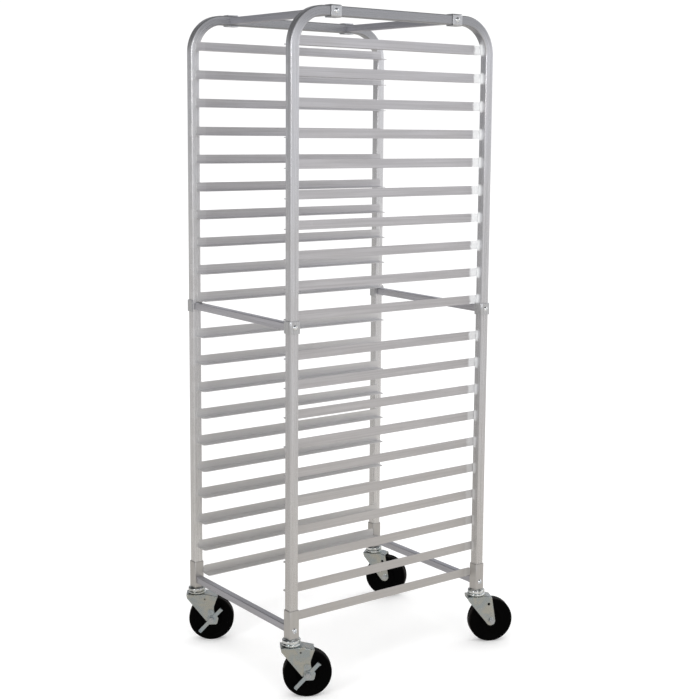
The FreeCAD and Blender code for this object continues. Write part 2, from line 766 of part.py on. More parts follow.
def caster_fork(label, place, braked):
    """Pressed fork: a crown, level under the race and sloping to its tail, and two tapering legs."""
    kind = "braked" if braked else "plain"
    rear, tail_top = f"crown_tail_{kind}", f"tail_top_{kind}"
    body = new_body(label, place)
    disc = new_sketch(body, "XY_Plane", "crown_low")
    circle(disc, 0, 0, "crown_radius")
    pad(body, disc, "crown_gauge")
    nose = new_sketch(body, "XY_Plane", "crown_low")
    outline(
        nose,
        [
            ("-crown_nose", "-leg_outside", "crown_nose_corner"),
            (0, "-leg_outside"),
            (0, "leg_outside"),
            ("-crown_nose", "leg_outside", "crown_nose_corner"),
        ],
    )
    pad(body, nose, "crown_gauge")
    tail = new_sketch(body, "XZ_Plane", "-leg_outside")
    outline(
        tail,
        [
            (0, "crown_low"),
            (0, "leg_top"),
            ("crown_radius", "leg_top"),
            (rear, tail_top),
            (rear, f"tail_low_{kind}"),
            ("crown_radius", "crown_low"),
        ],
    )
    pad(body, tail, "crown_width")
    leg = new_sketch(body, "XZ_Plane", "leg_inside")
    edge = [
        ("-leg_nose", "leg_top"),
        ("-leg_brow", "leg_brow_height", "leg_brow_round"),
        ("leg_toe", "leg_bottom", "leg_bottom_round"),
        ("leg_heel", "leg_bottom", "leg_bottom_round"),
    ]
    if braked:
        edge.append(("leg_waist", "leg_waist_height", "leg_waist_round"))
    outline(leg, edge + [(rear, tail_top), ("crown_radius", "leg_top")])
    mirror(body, [pad(body, leg, "leg_gauge")], "XZ_Plane")
    drill = new_sketch(body, "XZ_Plane", "-drill_outside")
    circle(drill, "swivel_lead", "wheel_radius", "axle_hole")
    circle(drill, f"hole_x_{kind}", f"hole_height_{kind}", f"hole_radius_{kind}")
    cut(body, drill, reverse=True)
    bore = new_sketch(body, "XY_Plane", "foot_height")
    circle(bore, 0, 0, "crown_bore")
    cut(body, bore, "tube_size")
    top, side = size("leg_top"), size("leg_outside")
    fillet(
        body,
        "leg_bend",
        lambda e: all(abs(abs(v.Y) - side) < 0.01 for v in e.Vertexes)
        and any(abs(v.Z - top) < 0.01 for v in e.Vertexes)
        and abs(e.tangentAt(e.FirstParameter).x) > 0.95
        and e.Length > 8,
    )


def axle_place(place, turn):
    """A frame at the wheel's centre, its Z along the axle towards -Y for turn 90."""
    at = V(size("swivel_lead"), 0, size("wheel_radius"))
    return place.multiply(FreeCAD.Placement(at, FreeCAD.Rotation(V(1, 0, 0), turn)))


def caster_wheel(label, place):
    """Solid wheel: rounded tread, slightly dished faces and a proud hub."""
    body = new_body(label, axle_place(place, 90))
    half = new_sketch(body, "XZ_Plane")
    outline(
        half,
        [
            ("wheel_bore", "-hub_half"),
            ("hub_radius", "-hub_half"),
            ("hub_slope", "-web_half"),
            ("rim_slope", "-web_half"),
            ("rim_inside", "-wheel_half"),
            ("wheel_radius", "-wheel_half", "tread_round"),
            ("wheel_radius", "wheel_half", "tread_round"),
            ("rim_inside", "wheel_half"),
            ("rim_slope", "web_half"),
            ("hub_slope", "web_half"),
            ("hub_radius", "hub_half"),
            ("wheel_bore", "hub_half"),
        ],
    )
    spin(body, half)


def caster_bushing(label, place):
    body = new_body(label, axle_place(place, 90))
    half = new_sketch(body, "XZ_Plane")
    box_outline(half, "bushing_bore", "bushing_radius", "-leg_inside", "leg_inside")
    spin(body, half)


def axle_bolt(label, place, end):
    """Hexagon bolt through the fork, its head on the +Y side."""
    body = new_body(label, axle_place(place, 90))
    head = new_sketch(body, "XY_Plane", "-leg_outside")
    hexagon(head, "axle_head")
    pad(body, head, "axle_head_height", reverse=True)
    shank = new_sketch(body, "XY_Plane", "-leg_outside")
    circle(shank, 0, 0, "axle_radius")
    feature = pad(body, shank, "leg_outside")
    feature.setExpression("Length", f"Dims.leg_outside + Dims.{end}")
    doc.recompute()


def axle_nut(label, place, face):
    body = new_body(label, axle_place(place, 90))
    section = new_sketch(body, "XY_Plane", face)
    hexagon(section, "nut_radius")
    circle(section, 0, 0, "nut_bore")
    pad(body, section, "nut_height")


def brake_plate(label, place):
    """Fixed plate behind the brake lever, riveted to the outer leg."""
    body = new_body(label, place)
    profile = new_sketch(body, "XZ_Plane", "leg_outside")
    outline(
        profile,
        [
            ("plate_left", "plate_low", "plate_corner"),
            ("plate_heel", "plate_low", "plate_corner"),
            ("plate_right", "plate_shoulder", "plate_corner"),
            ("plate_neck", "plate_high", "plate_corner"),
            ("plate_left", "plate_high", "plate_corner"),
        ],
    )
    circle(profile, "swivel_lead", "wheel_radius", "axle_hole")
    pad(body, profile, "plate_gauge")
    rivet = new_sketch(body, "XZ_Plane", "plate_face")
    circle(rivet, "rivet_x", "rivet_height", "rivet_radius")
    pad(body, rivet, "rivet_proud")
    top = size("plate_face") + size("rivet_proud")
    fillet(
        body,
        "rivet_proud_round",
        lambda e: len(e.Vertexes) == 1 and abs(e.Vertexes[0].Y + top) < 0.01,
    )


def brake_lever(label, place):
    """Strap lever about the axle, with a turned-out tab at each end."""
    tilt = math.radians(LEVER_TILT)
    along = V(math.cos(tilt), 0, math.sin(tilt))
    out = V(0, -1, 0)
    turn = FreeCAD.Rotation(along, out.cross(along), out, "XZY")
    at = V(size("swivel_lead"), 0, size("wheel_radius"))
    body = new_body(label, place.multiply(FreeCAD.Placement(at, turn)))
    hub = new_sketch(body, "XY_Plane", "lever_inside")
    circle(hub, 0, 0, "lever_hub")
    pad(body, hub, "lever_gauge")
    strap = new_sketch(body, "XY_Plane", "lever_inside")
    box_outline(strap, "-lever_long", "lever_short", "-lever_half", "lever_half", "lever_round")
    pad(body, strap, "lever_gauge")
    for inner, outer, height in (
        ("short_tab_inner", "lever_short", "short_tab"),
        ("-lever_long", "-long_tab_inner", "long_tab"),
    ):
        tab = new_sketch(body, "XY_Plane", "lever_inside")
        box_outline(tab, inner, outer, "-tab_half", "tab_half")
        pad(body, tab, height)
    bore = new_sketch(body, "XY_Plane", "drill_outside")
    circle(bore, 0, 0, "lever_bore")
    cut(body, bore)


def caster(code, x, y, trail, braked):
    turn = FreeCAD.Rotation(V(0, 0, 1), trail)
    place = FreeCAD.Placement(V(x * size("post_x"), y * size("post_y"), 0), turn)
    name = f"caster_{code}"
    caster_stem(f"{name}_stem", place)
    caster_race(f"{name}_race", place)
    caster_fork(f"{name}_fork", place, braked)
    caster_wheel(f"{name}_wheel", place)
    caster_bushing(f"{name}_bushing", place)
    axle_bolt(f"{name}_axle_bolt", place, "axle_end_braked" if braked else "axle_end")
    axle_nut(f"{name}_axle_nut", place, "nut_face_braked" if braked else "nut_face")
    if braked:
        brake_plate(f"{name}_brake_plate", place)
        brake_lever(f"{name}_brake_lever", place)


side_frame("side_frame_left", None)
side_frame("side_frame_right", HALF_TURN)
upper_runners("runners_left_upper", None)
lower_runners("runners_left_lower", None)
upper_runners("runners_right_upper", HALF_TURN)
lower_runners("runners_right_lower", HALF_TURN)
cross_rail("top_rail_front", "-top_rail_y", "crown_height")
cross_rail("top_rail_rear", "top_rail_y", "crown_height")
cross_rail("mid_rail_front", "-post_y", "mid_rail_height")
cross_rail("mid_rail_rear", "post_y", "mid_rail_height")
for end, y in (("front", "-post_y"), ("rear", "post_y")):
    cross_rail(f"low_rail_{end}", y, "low_rail_height", "low_rail_start", "low_rail_length")
top_saddles()
mid_saddles()
rail_plugs("top_rail_plugs", "top_rail_y", "crown_height", "plug_start")
rail_plugs("mid_rail_plugs", "post_y", "mid_rail_height", "plug_start")
rail_plugs("low_rail_plugs", "post_y", "low_rail_height", "low_plug_start")
rail_bolts("top_rail_bolts", "top_rail_y", "crown_height", "saddle_web")
rail_bolts("mid_rail_bolts", "post_y", "mid_rail_height", "saddle_web")
rail_bolts("low_rail_bolts", "post_y", "low_rail_height", "sleeve_face")
for code, c in CASTERS.items():
    foot_sleeve(code, c["x"], c["y"])
    caster_socket(code, c["x"], c["y"])
    caster(code, **c)

doc.recompute()
for obj in doc.Objects:
    if "Invalid" in obj.State or "Error" in obj.State:
        raise RuntimeError(f"{obj.Label} is not valid: {obj.State}")
for body in bodies:
    if body.Shape.isNull() or not body.Shape.isValid() or not body.Shape.Solids:
        raise RuntimeError(f"{body.Label} has no sound shape")

os.makedirs("parts", exist_ok=True)
for body in bodies:
    body.Shape.exportStep(f"parts/{body.Label}.step")
    print(body.Label, len(body.Shape.Solids), round(body.Shape.Volume, 1))
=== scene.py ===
import json
import math

import bmesh
import bpy
from mathutils import Matrix, Vector


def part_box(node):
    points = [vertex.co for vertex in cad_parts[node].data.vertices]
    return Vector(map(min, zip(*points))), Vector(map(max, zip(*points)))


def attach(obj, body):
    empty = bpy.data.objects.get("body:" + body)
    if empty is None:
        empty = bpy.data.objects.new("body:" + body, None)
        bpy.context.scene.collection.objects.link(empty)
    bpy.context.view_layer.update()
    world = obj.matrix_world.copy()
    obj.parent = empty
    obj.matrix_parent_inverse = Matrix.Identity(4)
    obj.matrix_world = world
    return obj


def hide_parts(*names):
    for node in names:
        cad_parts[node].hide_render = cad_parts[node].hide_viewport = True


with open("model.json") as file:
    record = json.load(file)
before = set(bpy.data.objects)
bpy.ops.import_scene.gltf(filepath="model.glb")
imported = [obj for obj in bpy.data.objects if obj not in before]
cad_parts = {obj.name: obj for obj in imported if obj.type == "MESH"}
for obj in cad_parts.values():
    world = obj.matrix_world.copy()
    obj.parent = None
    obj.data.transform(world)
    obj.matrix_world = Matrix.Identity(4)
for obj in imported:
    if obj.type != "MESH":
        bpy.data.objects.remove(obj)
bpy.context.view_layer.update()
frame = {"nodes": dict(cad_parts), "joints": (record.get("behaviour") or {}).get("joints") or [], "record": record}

RECORD = frame["record"]
JOINTS = {joint["name"]: joint for joint in frame["joints"]}
CASTERS = ("fl", "fr", "rr", "rl")
WHEEL_SLOT = "wheel_black"

# Sizes of the stock the rack is made of, in metres.
TUBE = 0.0254
BEND_OUTER = 0.1016
GAUGE = 0.0018
TIER_STEP = 0.0762
DECK_TIERS = 10
SLOT_LIFT = 0.0005
SLEEVE_GAP = 0.0003
SPLIT_LIFT = 0.01

# The moulded wheel, in metres.
WHEEL_RIM = 0.0635
WHEEL_HALF = 0.0159
HUB_HALF = 0.0188
WHEEL_BORE = 0.00795
BORE_CHAMFER = 0.0006
HUB_ROUND = 0.0008
TREAD_ROUND = 0.0055
WHEEL_SEGMENTS = 96

# Weld beads: how far apart the ripples are, how many there are, and the bead's radius.
END_BEAD = (0.00125, 14, 0.0013)
BACK_BEAD = (0.00085, 11, 0.0011)
BEAD_SIDES = 8

# A bead's thickness as shares of its radius: at its tips, how fast it swells, its ripple and its wobble.
BEAD_TIP = 0.35
BEAD_SWELL = 3.2
BEAD_RIPPLE = 0.14
BEAD_WOBBLE = 0.12

# Where beads start, in metres: how deep in the post, how far from the runner's end, how far up it.
END_SINK = 0.0006
END_STANDOFF = 0.0002
END_FOOT = 0.003
BACK_SINK = 0.0004
BACK_INSET = 0.0008

# Edges of CAD nodes are eased where faces meet at more than this angle, after joining points this close.
SHARP_DEGREES = 50
JOIN_REACH = 0.000004
FLOOR_REACH = 30

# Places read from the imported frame.
frame_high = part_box("side_frame_right")[1]
runner_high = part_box("runners_right_upper")[1]
BEND_Y = frame_high.y - BEND_OUTER
BEND_Z = frame_high.z - BEND_OUTER
POST_INNER_X = runner_high.x
POST_INNER_Y = frame_high.y - TUBE
RUNNER_END = runner_high.y
SHORT_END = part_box("foot_sleeve_rr")[0].y - SLEEVE_GAP
LEDGE_TOPS = sorted(
    (
        opening["box_m"][0][2] - SLOT_LIFT
        for opening in RECORD["physics"]["openings"]
        if opening["name"].startswith("pan_slot")
    ),
    reverse=True,
)
WALL_HEIGHT = runner_high.z - (LEDGE_TOPS[0] - GAUGE)
UPPER_LAST = LEDGE_TOPS[DECK_TIERS - 1] - GAUGE
LOWER_LAST = LEDGE_TOPS[-1] - GAUGE
DECK_SPLIT = (LEDGE_TOPS[DECK_TIERS - 1] + LEDGE_TOPS[DECK_TIERS]) / 2 + SPLIT_LIFT

# How bright the surroundings look in polished metal, against 1 for white.
STUDIO_LEFT = 0.44
STUDIO_RIGHT = 0.90
STUDIO_ZENITH = 0.12
FLOOR_LEFT = 0.52
FLOOR_RIGHT = 0.72

# The camera: place in metres, angles in degrees, lens in millimetres, shift as a share of the frame.
CAMERA_PLACE = (3.0213, -2.1568, 1.4734)
CAMERA_YAW = 51.608
CAMERA_PITCH = 7.404
CAMERA_ROLL = 0.742
CAMERA_SENSOR = 36.0
CAMERA_LENS = 68.856171
CAMERA_SHIFT = (-0.078857143, -0.072571429)

# Each light's name, place, the point it faces, its size, its power in watts and its colour.
LIGHTS = (
    ("left_box", (1.35, -4.05, 2.3), (0, 0, 0.9), (0.8, 1.3), 32.0, (1, 1, 1)),
    ("right_box", (3.9, -0.8, 2.1), (0, 0, 0.9), (0.6, 1.2), 14.0, (1.0, 0.985, 0.97)),
    ("rear", (0.6, 3.6, 2.6), (0, 0, 1.0), (2.4, 2.2), 18.0, (1, 1, 1)),
)

# Oxidised aluminium scatters some light as a chalky surface does, and more in the painted bounce highlight, which
# is also rougher.
OXIDE_METALLIC = 0.85
BOUNCE_METALLIC_LOSS = 0.68
BOUNCE_ROUGHER = 0.16

# Lines drawn into the metal: how often they repeat in a metre, across the stock and along it.
TUBE_LINES = (1500.0, 9.0)
TUBE_STREAKS = (230.0, 3.0)
BAR_LINES = (1500.0, 7.0)
RUNNER_STREAKS = (260.0, 4.0)
RAIL_STREAKS = (260.0, 3.0)
PLATE_LINES = (1300.0, 40.0)
PLATE_STREAKS = (200.0, 12.0)

# Heights where the turned rings above each fork begin and end, and where the bolts turn dull. The wheels'
# tread begins over this range of radius. All in metres.
RINGS_BEGIN = (0.1371, 0.1377)
RINGS_END = (0.1565, 0.158)
DULL_BOLTS_BELOW = 0.12
TREAD_EDGE = (0.0600, 0.0632)

# Turned rings on the wheels' sides, in radians to the metre of radius.
WHEEL_RINGS = 5200.0

# Noise patterns: scale, detail, roughness and distortion. The two drawn ones run on lines already scaled.
DRAWN_FINE = (1.0, 2.0, 0.55, 0.0)
DRAWN_BROAD = (1.0, 3.0, 0.55, 0.0)
STAINS = (7.0, 4.0, 0.6, 0.4)
SCUFFS = (55.0, 4.0, 0.7, 0.8)
SPECKS = (420.0, 2.0, 0.55, 0.0)
# The next two shape the painted bounce highlight: its mottle and the wander of its edge.
BOUNCE_MOTTLE = (160.0, 3.0, 0.65, 0.0)
BOUNCE_EDGE = (130.0, 3.0, 0.6, 0.0)
ZINC_PATCHES = (38.0, 3.0, 0.5, 0.6)
ZINC_WEAR = (210.0, 3.0, 0.6, 0.0)
ZINC_HAZE = (90.0, 3.0, 0.55, 0.0)
ZINC_PEEL = (520.0, 2.0, 0.55, 0.0)
ZINC_PITS = (300.0, 2.0, 0.55, 0.0)
RING_GLINTS = (62.0, 2.0, 0.4, 0.0)
WELD_TONE = (300.0, 3.0, 0.55, 0.0)
WELD_HAZE = (220.0, 2.0, 0.55, 0.0)
WELD_GRAIN = (700.0, 3.0, 0.55, 0.0)
MOULD_GRAIN = (260.0, 4.0, 0.6, 0.0)
TREAD_DUST = (80.0, 4.0, 0.55, 0.0)
FLOOR_TONE = (1.5, 3.0, 0.55, 0.0)
FLOOR_GRAIN = (60.0, 2.0, 0.55, 0.0)

# The middle of a noise's range, where nearly all of it lies.
SOFT = (0.3, 0.7)

# Tints over a grey.
STAIN_TINT = (1.02, 0.99, 0.98)
# Tint of the painted warm floor reflection.
FLOOR_REFLECTION_TINT = (1.04, 1.0, 0.94)
# Tint of painted light, where a surface is made lighter than the lamps leave it.
PAINTED_LIGHT_TINT = (1.0, 1.0, 0.99)
# Tint of the painted bounce highlight.
PAINTED_BOUNCE_TINT = (0.985, 0.995, 1.0)
# Tint of worn zinc, and of the painted glints on the turned rings.
ZINC_WEAR_AND_GLINT_TINT = (0.97, 1.0, 1.0)


class Graph:
    """A material's node graph, with short ways to add and join its nodes."""

    def __init__(self, name, own_place=False):
        self.material = bpy.data.materials.new(name)
        self.material.use_nodes = True
        self.tree = self.material.node_tree
        self.tree.nodes.clear()
        self.output = self.tree.nodes.new("ShaderNodeOutputMaterial")
        self.shader = self.tree.nodes.new("ShaderNodeBsdfPrincipled")
        self.join(self.shader.outputs["BSDF"], self.output.inputs["Surface"])
        if own_place:
            stored = self.tree.nodes.new("ShaderNodeAttribute")
            stored.attribute_name = "own_place"
            self.read_place(stored.outputs["Vector"])
        else:
            self.read_place(self.tree.nodes.new("ShaderNodeTexCoord").outputs["Object"])

    def read_place(self, vector):
        self.place = vector
        split = self.tree.nodes.new("ShaderNodeSeparateXYZ")
        self.join(self.place, split.inputs[0])
        self.x, self.y, self.z = split.outputs

    def join(self, source, socket):
        if hasattr(source, "is_linked"):
            self.tree.links.new(source, socket)
        else:
            socket.default_value = source

    def math(self, operation, *values):
        node = self.tree.nodes.new("ShaderNodeMath")
        node.operation = operation
        for socket, value in zip(node.inputs, values):
            self.join(value, socket)
        return node.outputs[0]

    def times(self, first, second):
        return self.math("MULTIPLY", first, second)

    def plus(self, first, second):
        return self.math("ADD", first, second)

    def minus(self, first, second):
        return self.math("SUBTRACT", first, second)

    def distance(self, first, second):
        return self.math("SQRT", self.plus(self.math("POWER", first, 2.0), self.math("POWER", second, 2.0)))

    def vector(self, x, y, z):
        node = self.tree.nodes.new("ShaderNodeCombineXYZ")
        for socket, value in zip(node.inputs, (x, y, z)):
            self.join(value, socket)
        return node.outputs[0]

    def scaled(self, x, y, z):
        return self.vector(self.times(self.x, x), self.times(self.y, y), self.times(self.z, z))

    def noise(self, vector, scale, detail, roughness, distortion):
        node = self.tree.nodes.new("ShaderNodeTexNoise")
        self.join(vector, node.inputs["Vector"])
        node.inputs["Scale"].default_value = scale
        node.inputs["Detail"].default_value = detail
        node.inputs["Roughness"].default_value = roughness
        node.inputs["Distortion"].default_value = distortion
        return node.outputs["Fac"]

    def marks(self, pattern):
        return self.noise(self.place, *pattern)

    def ramp(self, value, low, high, start=0.0, end=1.0):
        node = self.tree.nodes.new("ShaderNodeMapRange")
        node.interpolation_type = "SMOOTHSTEP"
        self.join(value, node.inputs["Value"])
        node.inputs["From Min"].default_value = low
        node.inputs["From Max"].default_value = high
        node.inputs["To Min"].default_value = start
        node.inputs["To Max"].default_value = end
        return node.outputs["Result"]

    def mix(self, factor, first, second):
        node = self.tree.nodes.new("ShaderNodeMix")
        node.data_type = "RGBA"
        self.join(factor, node.inputs["Factor"])
        self.join(first, node.inputs[6])
        self.join(second, node.inputs[7])
        return node.outputs[2]

    def bump(self, height, strength, distance):
        node = self.tree.nodes.new("ShaderNodeBump")
        node.inputs["Strength"].default_value = strength
        node.inputs["Distance"].default_value = distance
        self.join(height, node.inputs["Height"])
        return node.outputs["Normal"]

    def finish(self, color, roughness, normal, metallic=1.0):
        self.join(color, self.shader.inputs["Base Color"])
        self.join(roughness, self.shader.inputs["Roughness"])
        self.join(normal, self.shader.inputs["Normal"])
        if not self.shader.inputs["Metallic"].is_linked:
            self.shader.inputs["Metallic"].default_value = metallic
        return self.material

    def seen_in_metal(self, plain, mirrored):
        """Shows one shader in reflections and another to everything else."""
        path = self.tree.nodes.new("ShaderNodeLightPath")
        mixer = self.tree.nodes.new("ShaderNodeMixShader")
        self.join(path.outputs["Is Glossy Ray"], mixer.inputs["Fac"])
        self.join(plain, mixer.inputs[1])
        self.join(mirrored, mixer.inputs[2])
        self.join(mixer.outputs[0], self.output.inputs["Surface"])


class WorldGraph(Graph):
    """The same short ways on the world's node tree, where the place is a direction."""

    def __init__(self, name):
        world = bpy.data.worlds.new(name)
        bpy.context.scene.world = world
        world.use_nodes = True
        self.tree = world.node_tree
        self.tree.nodes.clear()
        self.output = self.tree.nodes.new("ShaderNodeOutputWorld")
        self.read_place(self.tree.nodes.new("ShaderNodeTexCoord").outputs["Generated"])

    def background(self, color, strength):
        node = self.tree.nodes.new("ShaderNodeBackground")
        self.join(color, node.inputs["Color"])
        self.join(strength, node.inputs["Strength"])
        return node.outputs[0]


def grey(level, tint=(1.0, 1.0, 1.0)):
    return (level * tint[0], level * tint[1], level * tint[2], 1.0)


def tier_zone(graph):
    """1 beside each runner's upright leg and 0 between runners, from the height alone."""
    upper = graph.math("GREATER_THAN", graph.z, DECK_SPLIT)
    rise = graph.times(upper, UPPER_LAST - LOWER_LAST)
    above = graph.minus(graph.minus(graph.z, LOWER_LAST), rise)
    phase = graph.math("FRACT", graph.math("DIVIDE", above, TIER_STEP))
    centre = WALL_HEIGHT / 2 / TIER_STEP
    away = graph.math("ABSOLUTE", graph.minus(phase, centre))
    wrapped = graph.math("MINIMUM", away, graph.minus(1.0, away))
    return graph.ramp(wrapped, 0.15, 0.24, 1.0, 0.0)


def mill_metal(
    graph, lines, streaks, level, tint, rough=0.34, painted_bounce=None, darkened=None, painted_light=None, floor_reflection_share=0.65
):
    """Drawn aluminium: fine lines, broader streaks, stains and scuffs, and a warmer tone low on the rack.

    The optional zones are 0 to 1 over the surface, in order: a painted highlight where light bounces between
    runners and posts, a darker zone, and a painted lighter zone.
    """
    fine = graph.noise(lines, *DRAWN_FINE)
    broad = graph.noise(streaks, *DRAWN_BROAD)
    color = graph.mix(graph.ramp(broad, *SOFT), grey(level * 0.88, tint), grey(level * 1.07, tint))
    cloudy = graph.ramp(graph.marks(STAINS), 0.35, 0.72, 0.0, 0.35)
    color = graph.mix(cloudy, color, grey(level * 0.86, STAIN_TINT))
    scuffed = graph.ramp(graph.marks(SCUFFS), 0.66, 0.74, 0.0, 0.3)
    color = graph.mix(scuffed, color, grey(level * 1.2, tint))
    # Painted reflection: warmer and a little darker low on the rack, as if a warm floor showed in the metal.
    painted_floor_reflection = graph.ramp(graph.z, 0.15, 0.95, floor_reflection_share, 0.0)
    color = graph.mix(painted_floor_reflection, color, grey(level * 0.92, FLOOR_REFLECTION_TINT))
    # Painted light: a lighter tone where the lamps leave the surface too dark.
    if painted_light is not None:
        color = graph.mix(painted_light, color, grey(level * 1.5, PAINTED_LIGHT_TINT))
    # A darker zone: painted shade on the frame's bends; on the rails, darker towards the floor.
    if darkened is not None:
        color = graph.mix(darkened, color, grey(level * 0.48, tint))
    roughness = graph.ramp(fine, *SOFT, rough - 0.07, rough + 0.06)
    # Painted highlight of bounced light: mottled, near white, rougher and less metallic.
    if painted_bounce is not None:
        mottled_bounce = graph.times(painted_bounce, graph.ramp(graph.marks(BOUNCE_MOTTLE), *SOFT, 0.78, 1.0))
        color = graph.mix(mottled_bounce, color, grey(0.93, PAINTED_BOUNCE_TINT))
        roughness = graph.plus(roughness, graph.times(mottled_bounce, BOUNCE_ROUGHER))
        dulled = graph.minus(OXIDE_METALLIC, graph.times(mottled_bounce, BOUNCE_METALLIC_LOSS))
        graph.join(dulled, graph.shader.inputs["Metallic"])
    height = graph.plus(graph.times(fine, 0.7), graph.times(graph.marks(SPECKS), 0.3))
    return graph.finish(color, roughness, graph.bump(height, 0.25, 0.00012), OXIDE_METALLIC)


def frame_metal():
    """The bent tube: lines follow it up the posts and round the bends; the bends carry painted shade, the posts'
    inner faces a painted bounce highlight beside each runner, and the left frame painted light.
    """
    graph = Graph("frame_aluminium")
    past_y = graph.math("MAXIMUM", graph.minus(graph.math("ABSOLUTE", graph.y), BEND_Y), 0.0)
    past_z = graph.math("MAXIMUM", graph.minus(graph.z, BEND_Z), 0.0)
    across = graph.distance(past_y, past_z)
    along = graph.plus(graph.y, graph.z)

    def drawn(rates):
        """Lines along the tube, from how often they repeat across it and along it."""
        return graph.vector(
            graph.times(graph.x, rates[0]), graph.times(across, rates[0]), graph.times(along, rates[1])
        )

    beside_post = graph.math("ABSOLUTE", graph.x)
    # Painted highlight on the posts' inner faces beside each runner, below the bends, where light bounces between
    # runners and posts: strongest on the rear right post and fading towards the floor.
    inner = graph.ramp(beside_post, POST_INNER_X + 0.008, POST_INNER_X + 0.018, 1.0, 0.0)
    below_bend = graph.ramp(graph.z, BEND_Z + 0.03, BEND_Z + 0.05, 1.0, 0.0)
    on_right = graph.math("GREATER_THAN", graph.x, 0.0)
    rear_right = graph.times(on_right, graph.math("GREATER_THAN", graph.y, 0.0))
    strength = graph.ramp(graph.z, 0.1, 1.2, 0.2, 0.85)
    strength = graph.times(strength, graph.plus(graph.times(rear_right, 1.05), 0.10))
    painted_bounce = graph.times(graph.times(tier_zone(graph), inner), below_bend)
    return mill_metal(
        graph,
        drawn(TUBE_LINES),
        drawn(TUBE_STREAKS),
        level=0.62,
        tint=(0.99, 0.995, 1.03),
        rough=0.30,
        painted_bounce=graph.times(painted_bounce, strength),
        # Painted shade: the bends darker.
        darkened=graph.ramp(graph.z, BEND_Z + 0.005, BEND_Z + 0.085, 0.0, 0.85),
        # Painted light: the left frame lighter.
        painted_light=graph.times(graph.math("LESS_THAN", graph.x, 0.0), 0.3),
    )


def runner_metal():
    """Extruded angle: lines along its length, a painted highlight near the ends where light bounces off the posts,
    and a painted lighter tone low on the left runners.
    """
    graph = Graph("runner_aluminium")
    # Painted highlight where light bounces off the posts onto the runners: strongest at the rear right, weak at
    # the front, fading towards the floor, with a wandering edge.
    wander = graph.times(graph.minus(graph.marks(BOUNCE_EDGE), 0.5), 0.014)
    edge = graph.plus(graph.y, wander)
    rear = graph.ramp(edge, POST_INNER_Y - 0.0265, POST_INNER_Y - 0.0175)
    on_right = graph.math("GREATER_THAN", graph.x, 0.0)
    rear = graph.times(rear, graph.plus(graph.times(on_right, 0.9), 0.1))
    front = graph.ramp(graph.y, 0.0150 - POST_INNER_Y, 0.0185 - POST_INNER_Y, 0.1, 0.0)
    fade = graph.ramp(graph.z, 0.2, 1.25, 0.2, 1.0)
    on_left = graph.math("LESS_THAN", graph.x, 0.0)
    return mill_metal(
        graph,
        graph.scaled(BAR_LINES[0], BAR_LINES[1], BAR_LINES[0]),
        graph.scaled(RUNNER_STREAKS[0], RUNNER_STREAKS[1], RUNNER_STREAKS[0]),
        level=0.56,
        tint=(1.0, 0.985, 1.01),
        rough=0.38,
        painted_bounce=graph.times(graph.math("MAXIMUM", rear, front), fade),
        # Painted light: the left runners lighter below the top tiers.
        painted_light=graph.times(on_left, graph.ramp(graph.z, 0.85, 1.35, 0.42, 0.0)),
    )


def rail_metal():
    """Square tube across the rack: lines along its length, darker near the floor."""
    graph = Graph("rail_aluminium")
    return mill_metal(
        graph,
        graph.scaled(BAR_LINES[1], BAR_LINES[0], BAR_LINES[0]),
        graph.scaled(RAIL_STREAKS[1], RAIL_STREAKS[0], RAIL_STREAKS[0]),
        level=0.56,
        tint=(0.985, 0.985, 1.06),
        darkened=graph.ramp(graph.z, 0.2, 0.6, 0.36, 0.0),
        floor_reflection_share=0.0,
    )


def plate_metal(name, level, tint, rough):
    """Cut plate and short tube, with lines up and down."""
    graph = Graph(name)
    lines = graph.scaled(PLATE_LINES[0], PLATE_LINES[0], PLATE_LINES[1])
    streaks = graph.scaled(PLATE_STREAKS[0], PLATE_STREAKS[0], PLATE_STREAKS[1])
    return mill_metal(graph, lines, streaks, level, tint, rough)


def zinc_metal(name, cool, warm, rough, rings=False, dull_below=None):
    """Zinc plate: cool and warm patches, worn spots, a little orange peel and small pits.

    With rings, glints run round the turned rings under the sleeve. Below dull_below it is darker.
    """
    graph = Graph(name)
    color = graph.mix(graph.ramp(graph.marks(ZINC_PATCHES), 0.36, 0.66), cool, warm)
    worn = graph.ramp(graph.marks(ZINC_WEAR), 0.62, 0.75, 0.0, 0.55)
    color = graph.mix(worn, color, grey(0.62, ZINC_WEAR_AND_GLINT_TINT))
    roughness = graph.ramp(graph.marks(ZINC_HAZE), *SOFT, rough - 0.06, rough + 0.08)
    if dull_below is not None:
        dull = graph.ramp(graph.z, dull_below, dull_below + 0.02, 0.8, 0.0)
        color = graph.mix(dull, color, grey(0.42, (0.96, 1.0, 1.02)))
    if rings:
        over_fork = graph.ramp(graph.z, *RINGS_BEGIN)
        under_sleeve = graph.ramp(graph.z, *RINGS_END, 1.0, 0.0)
        ring = graph.times(over_fork, under_sleeve)
        glints = graph.ramp(graph.marks(RING_GLINTS), 0.40, 0.60, 0.15, 1.0)
        color = graph.mix(graph.times(ring, glints), color, grey(0.9, ZINC_WEAR_AND_GLINT_TINT))
        roughness = graph.minus(roughness, graph.times(ring, 0.06))
    pits = graph.ramp(graph.marks(ZINC_PITS), 0.28, 0.36)
    height = graph.plus(graph.times(graph.marks(ZINC_PEEL), 0.5), graph.times(pits, 0.5))
    return graph.finish(color, roughness, graph.bump(height, 0.3, 0.00018))


def weld_metal():
    """Weld metal: mottled grey with a coarse grain."""
    graph = Graph("weld_aluminium")
    tone = graph.ramp(graph.marks(WELD_TONE), 0.35, 0.65)
    color = graph.mix(tone, grey(0.62), grey(0.86, (0.98, 1.0, 1.0)))
    roughness = graph.ramp(graph.marks(WELD_HAZE), *SOFT, 0.32, 0.55)
    return graph.finish(color, roughness, graph.bump(graph.marks(WELD_GRAIN), 0.5, 0.0003))


